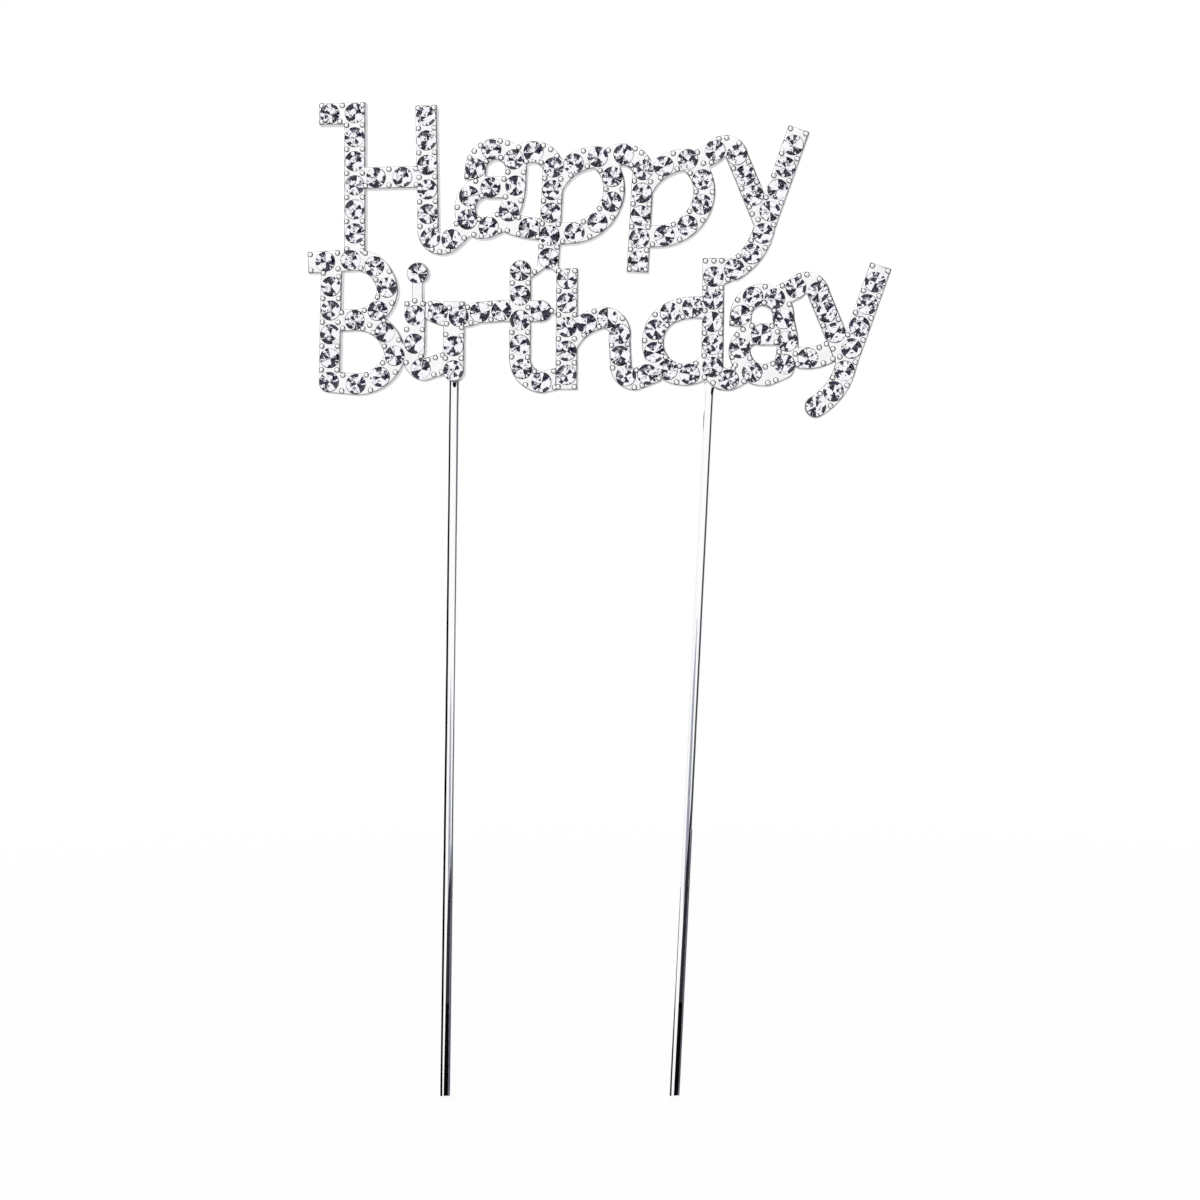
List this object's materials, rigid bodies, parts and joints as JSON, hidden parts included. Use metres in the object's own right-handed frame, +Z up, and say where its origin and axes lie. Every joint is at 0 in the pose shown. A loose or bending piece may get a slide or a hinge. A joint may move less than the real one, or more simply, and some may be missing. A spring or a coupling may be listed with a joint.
{
  "type": "cake topper",
  "caption": "Word-shaped cake topper: two rows of joined stroke letters in silvered metal, set with faceted stones, on two slim wire rods that push into a cake.",
  "frame": {"origin": "bottom of the rods, in the middle of the topper's width and depth", "axes": "+Z up along the topper's height, +X along the words, -Y out of the face with the stones"},
  "size_m": [0.0912, 0.0042, 0.1569],
  "materials": {
    "silver_plate": "bright silver plating on a cast plate",
    "stone": "clear faceted crystal, foiled behind",
    "rod_chrome": "polished wire",
    "solder": "dull silver solder"
  },
  "bodies": {
    "root": {"happy_1_h": "silver_plate", "happy_2_a": "silver_plate", "happy_3_p": "silver_plate", "happy_4_p": "silver_plate", "happy_5_y": "silver_plate", "birthday_1_b": "silver_plate", "birthday_2_i": "silver_plate", "birthday_3_r": "silver_plate", "birthday_4_t": "silver_plate", "birthday_5_h": "silver_plate", "birthday_6_d": "silver_plate", "birthday_7_a": "silver_plate", "birthday_8_y": "silver_plate", "stones_happy_1_h": "stone", "stones_happy_2_a": "stone", "stones_happy_3_p": "stone", "stones_happy_4_p": "stone", "stones_happy_5_y": "stone", "stones_birthday_1_b": "stone", "stones_birthday_2_i": "stone", "stones_birthday_3_r": "stone", "stones_birthday_4_t": "stone", "stones_birthday_5_h": "stone", "stones_birthday_6_d": "stone", "stones_birthday_7_a": "stone", "stones_birthday_8_y": "stone", "rod_left": "rod_chrome", "rod_right": "rod_chrome", "solder_left": "solder", "solder_right": "solder"}
  },
  "joints": []
}
